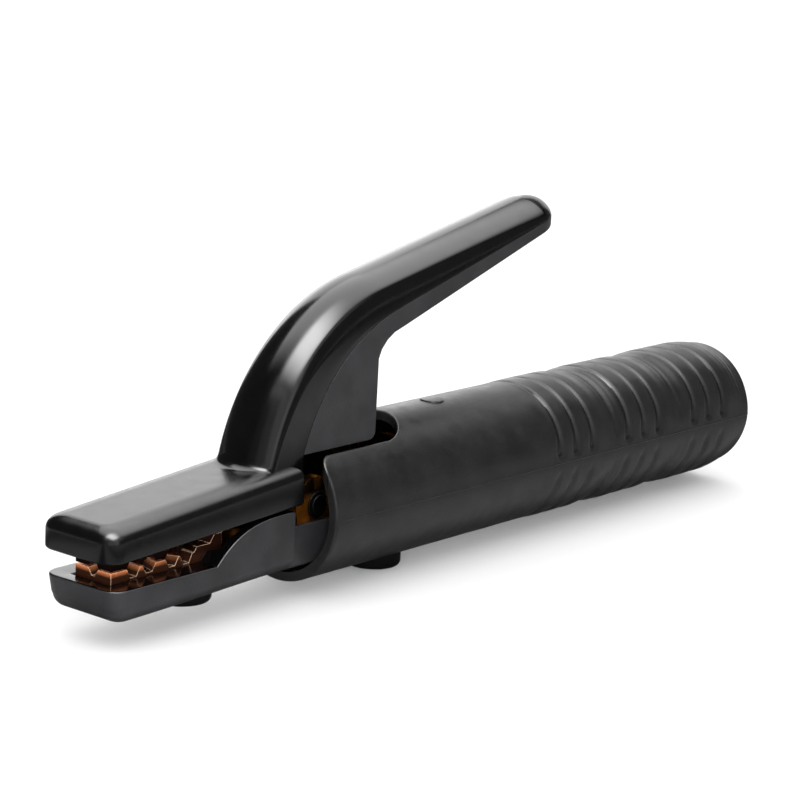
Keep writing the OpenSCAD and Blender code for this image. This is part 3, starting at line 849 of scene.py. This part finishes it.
def floor_card():
    """What reflections see of the floor: a glowing stand-in, with the object's painted shadow right under it, and
    darker in a band on either side of the object.
    """
    m = plain("floor_card_mat", (0, 0, 0), 1.0)
    nt = m.node_tree
    coord = nt.nodes.new("ShaderNodeTexCoord")
    split = nt.nodes.new("ShaderNodeSeparateXYZ")
    size = nt.nodes.new("ShaderNodeMath")
    size.operation = "ABSOLUTE"
    ramp = nt.nodes.new("ShaderNodeFloatCurve")
    nt.links.new(coord.outputs["Object"], split.inputs[0])
    nt.links.new(split.outputs["Y"], size.inputs[0])
    nt.links.new(size.outputs[0], ramp.inputs["Value"])
    cu = ramp.mapping.curves[0]
    # (distance from the object's axis in metres, glow); the low glow next to the axis is the object's painted shadow
    points = [(0.0, 0.06), (0.013, 0.08), (0.021, 0.42), (0.045, 0.45), (0.066, 0.1), (0.095, 0.12), (0.13, 0.75),
              (0.18, 0.45), (0.25, 0.15), (1.0, 0.15)]
    cu.points[0].location, cu.points[1].location = points[0], points[-1]
    for p in points[1:-1]:
        cu.points.new(*p)
    ramp.mapping.update()
    nt.links.new(ramp.outputs[0], nt.nodes["Principled BSDF"].inputs["Emission Strength"])
    only_reflected(disc("floor_card", 3.0, FLOOR_Z + 0.00005, m))


floor_card()


def softbox(name, place, aim, size, watts, diffuse):
    """Square light that gives either diffuse light or highlights."""
    li = bpy.data.lights.new(name, "AREA")
    li.shape, li.size, li.size_y, li.energy = "RECTANGLE", size, size, watts
    li.diffuse_factor = 1.0 if diffuse else 0.0
    ob = added(name, li)
    ob.location = place
    ob.rotation_mode = "QUATERNION"
    ob.rotation_quaternion = (Vector(place) - Vector(aim)).to_track_quat("Z", "Y")
    ob.visible_camera = False
    ob.visible_glossy = not diffuse


def ceiling():
    """Soft overhead light seen by reflections: a broad panel behind and above, brightest over the jaw."""
    m = plain("ceiling_mat", (0, 0, 0), 1.0)
    nt = m.node_tree
    coord = nt.nodes.new("ShaderNodeTexCoord")
    split = nt.nodes.new("ShaderNodeSeparateXYZ")
    nt.links.new(coord.outputs["Object"], split.inputs[0])

    def ramp(axis, a, b):
        """0 at a on the axis, 1 at b, smooth between."""
        r = nt.nodes.new("ShaderNodeMapRange")
        r.interpolation_type = "SMOOTHSTEP"
        r.inputs["From Min"].default_value, r.inputs["From Max"].default_value = a, b
        nt.links.new(split.outputs[axis], r.inputs["Value"])
        return r.outputs["Result"]

    def times(*parts):
        out = parts[0]
        for q in parts[1:]:
            k = nt.nodes.new("ShaderNodeMath")
            k.operation = "MULTIPLY"
            nt.links.new(out, k.inputs[0])
            if isinstance(q, float):
                k.inputs[1].default_value = q
            else:
                nt.links.new(q, k.inputs[1])
            out = k.outputs[0]
        return out

    broad = times(ramp("X", 0.75, 0.1), ramp("X", -1.2, -0.75), ramp("Y", -1.3, -0.85), ramp("Y", 0.85, 0.1), 3.6)
    hot = times(ramp("X", 0.9, 0.38), ramp("X", -0.25, 0.25), ramp("Y", -0.2, -0.02), ramp("Y", 0.8, 0.42), 15.0)
    total = nt.nodes.new("ShaderNodeMath")
    total.operation = "ADD"
    nt.links.new(broad, total.inputs[0])
    nt.links.new(hot, total.inputs[1])
    nt.links.new(total.outputs[0], nt.nodes["Principled BSDF"].inputs["Emission Strength"])
    corners = [(-1.6, -0.9, 1), (0.9, -0.9, 1), (0.9, 0.9, 1), (-1.6, 0.9, 1)]
    ob = staged("ceiling", corners, [(0, 1, 2, 3)], m)
    ob.location = (0.18, 0, 0.03)
    only_reflected(ob)


ceiling()
softbox("front_box", (0.62, 0.62, 0.9), (0.2, 0, 0), 0.35, 0.6, diffuse=False)
softbox("jaw_fill", (0.75, 0.5, 0.1), (0.235, 0, -0.003), 0.3, 7, diffuse=True)

scene = bpy.context.scene
scene.view_settings.view_transform = "Standard"
scene.view_settings.look = "None"

bpy.context.view_layer.update()
